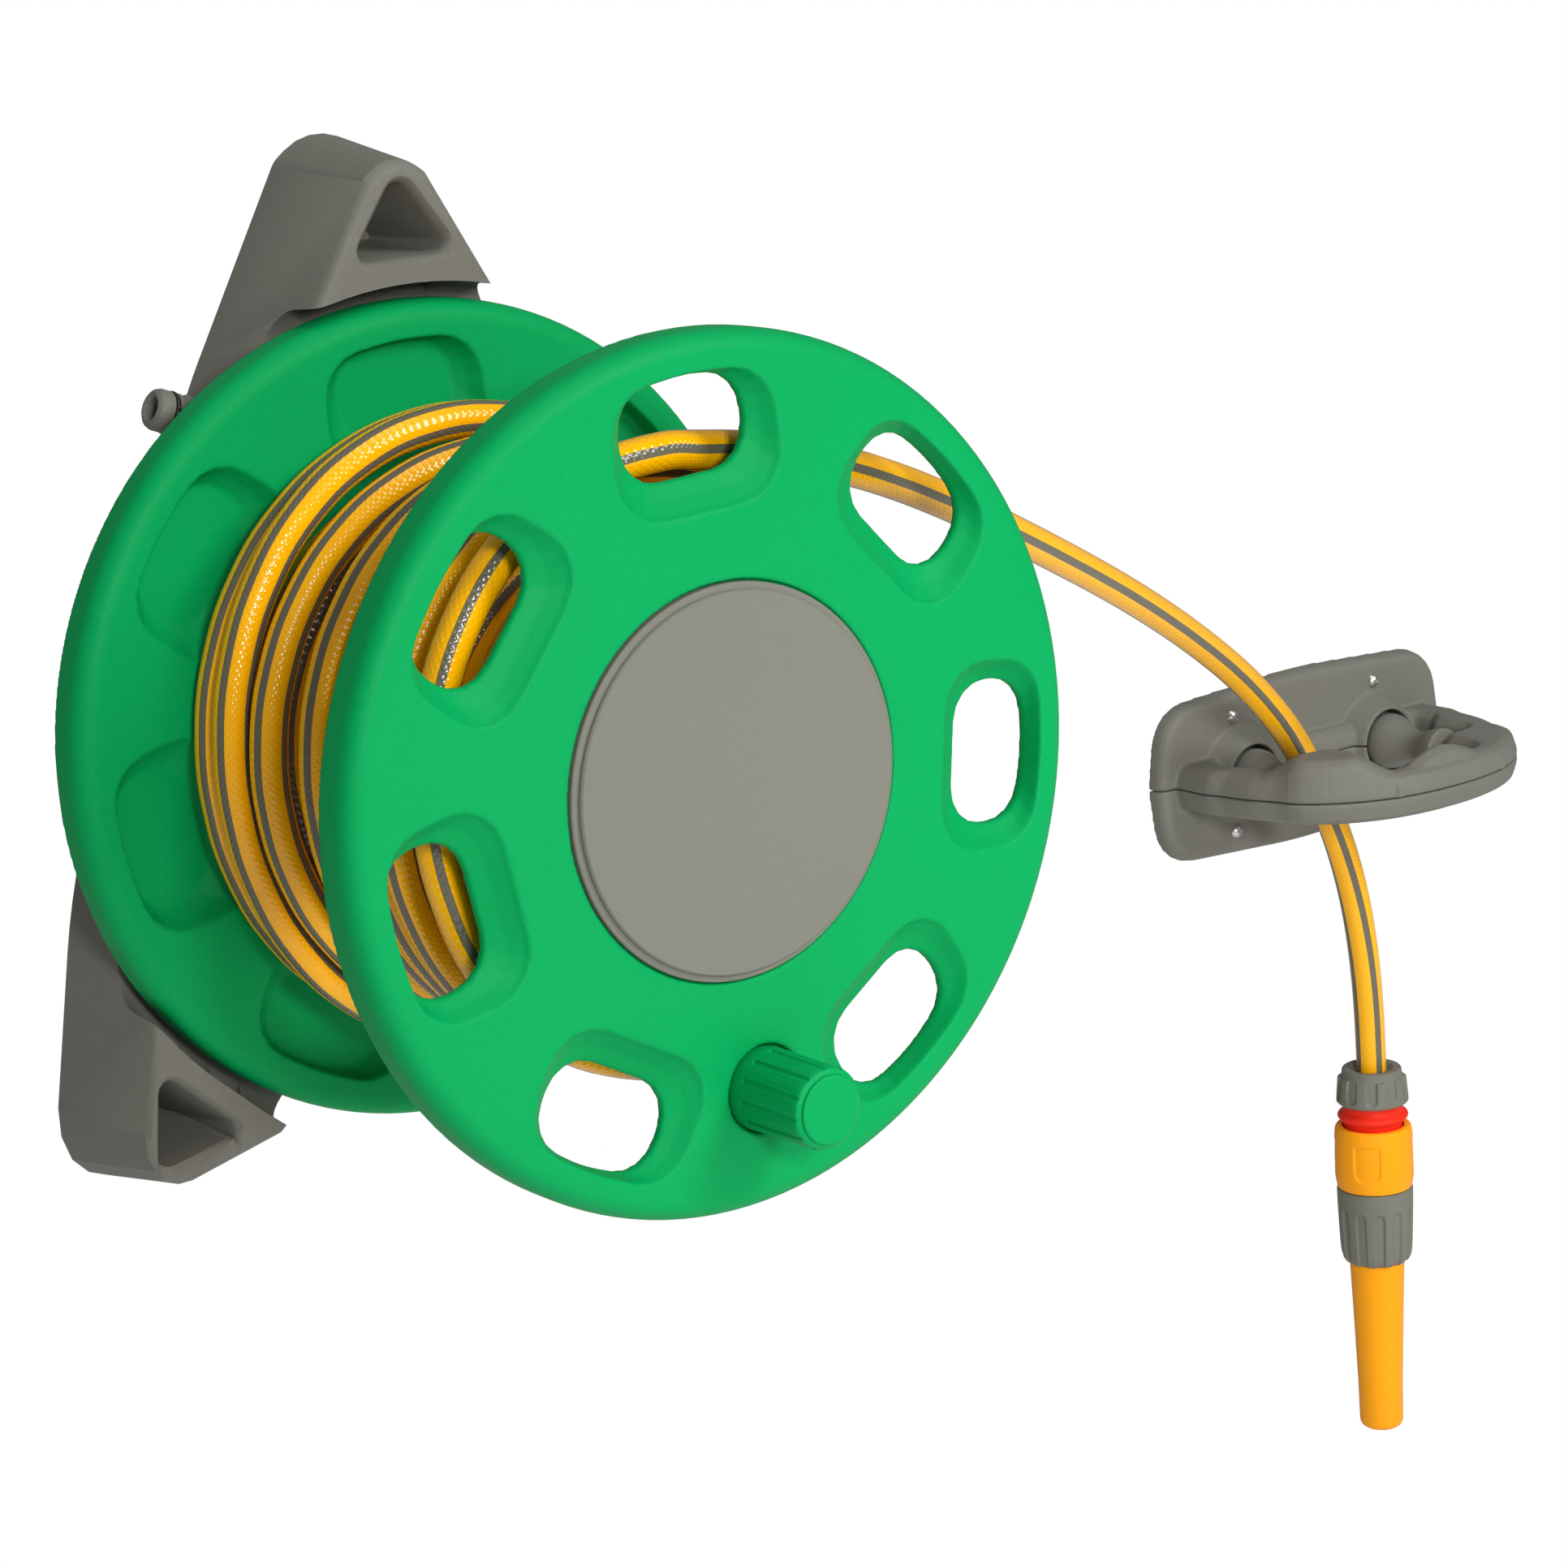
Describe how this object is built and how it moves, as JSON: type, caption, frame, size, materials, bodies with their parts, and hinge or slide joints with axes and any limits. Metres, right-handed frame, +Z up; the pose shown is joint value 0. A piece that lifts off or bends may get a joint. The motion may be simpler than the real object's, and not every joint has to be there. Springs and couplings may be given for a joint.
{
  "type": "wall mounted hose reel",
  "caption": "Wall bracket with a turning hose reel and crank knob, a wall guide with hourglass rollers, and a hose that ends in a quick connector and jet nozzle.",
  "frame": {"origin": "where the reel's axis meets the wall", "axes": "the wall is the plane Y = 0, -Y points out of the wall to the user, +Z is up, +X is to the user's right"},
  "size_m": [0.9177, 0.3591, 0.8083],
  "materials": {
    "grey_moulding": "fine moulded grain",
    "grey_nylon": "smooth",
    "grey_cover": "fine moulded grain",
    "green_moulding": "fine moulded grain",
    "hose_wall": "glossy with a fine braid and four dark stripes",
    "connector_grey": "soft grip",
    "orange_moulding": "semi-gloss",
    "red_moulding": "semi-gloss",
    "zinc": "zinc plated",
    "seal_rubber": "black, slightly shiny"
  },
  "bodies": {
    "frame": {"wall_bracket": "grey_moulding", "spindle": "grey_nylon", "spindle_screws": "zinc", "spindle_seals": "seal_rubber", "spindle_clip": "zinc", "inlet_pipe": "grey_moulding", "inlet_spigot": "grey_moulding", "inlet_seal": "seal_rubber", "guide_upper_shell": "grey_moulding", "guide_lower_shell": "grey_moulding", "guide_screws": "zinc", "roller_pins": "zinc", "hose_free": "hose_wall", "connector_body": "connector_grey", "connector_nut": "connector_grey", "connector_ring": "red_moulding"},
    "reel": {"back_flange": "green_moulding", "drum_core": "grey_moulding", "drum_screws": "zinc", "front_flange": "green_moulding", "flange_screws": "zinc", "hub_cap": "grey_cover", "outlet_elbow": "grey_nylon", "hose_inner_layers": "hose_wall", "hose_outer_layer": "hose_wall", "crank_pin": "zinc"},
    "knob": {"crank_knob": "green_moulding", "knob_cap": "green_moulding"},
    "left_roller": {"guide_roller_left": "grey_moulding"},
    "right_roller": {"guide_roller_right": "grey_moulding"},
    "sleeve": {"connector_sleeve": "orange_moulding"},
    "nozzle": {"nozzle_collar": "connector_grey", "nozzle_seal": "seal_rubber"},
    "barrel": {"nozzle_barrel": "orange_moulding"}
  },
  "joints": [
    {"name": "reel_turn", "type": "hinge", "parent": "frame", "child": "reel", "pos_m": [0, 0, 0], "axis": [0, -1, 0], "continuous": true},
    {"name": "knob_turn", "type": "hinge", "parent": "reel", "child": "knob", "pos_m": [0.00619, -0.3, -0.13636], "axis": [0, -1, 0], "continuous": true},
    {"name": "left_roller_turn", "type": "hinge", "parent": "frame", "child": "left_roller", "pos_m": [0.56, -0.05, -0.147], "axis": [0, -1, 0], "continuous": true},
    {"name": "right_roller_turn", "type": "hinge", "parent": "frame", "child": "right_roller", "pos_m": [0.668, -0.05, -0.147], "axis": [0, -1, 0], "continuous": true},
    {"name": "sleeve_release", "type": "slide", "parent": "frame", "child": "sleeve", "axis": [0, 0, 1], "range_m": [0, 0.003], "stiffness_N_per_m": 900, "springref_m": -0.002},
    {"name": "nozzle_swivel", "type": "hinge", "parent": "frame", "child": "nozzle", "pos_m": [0.6185, -0.05, -0.41], "axis": [0, 0, 1], "continuous": true},
    {"name": "jet_twist", "type": "hinge", "parent": "nozzle", "child": "barrel", "pos_m": [0.6185, -0.05, -0.48], "axis": [0, 0, 1], "range_deg": [-180, 180]}
  ]
}
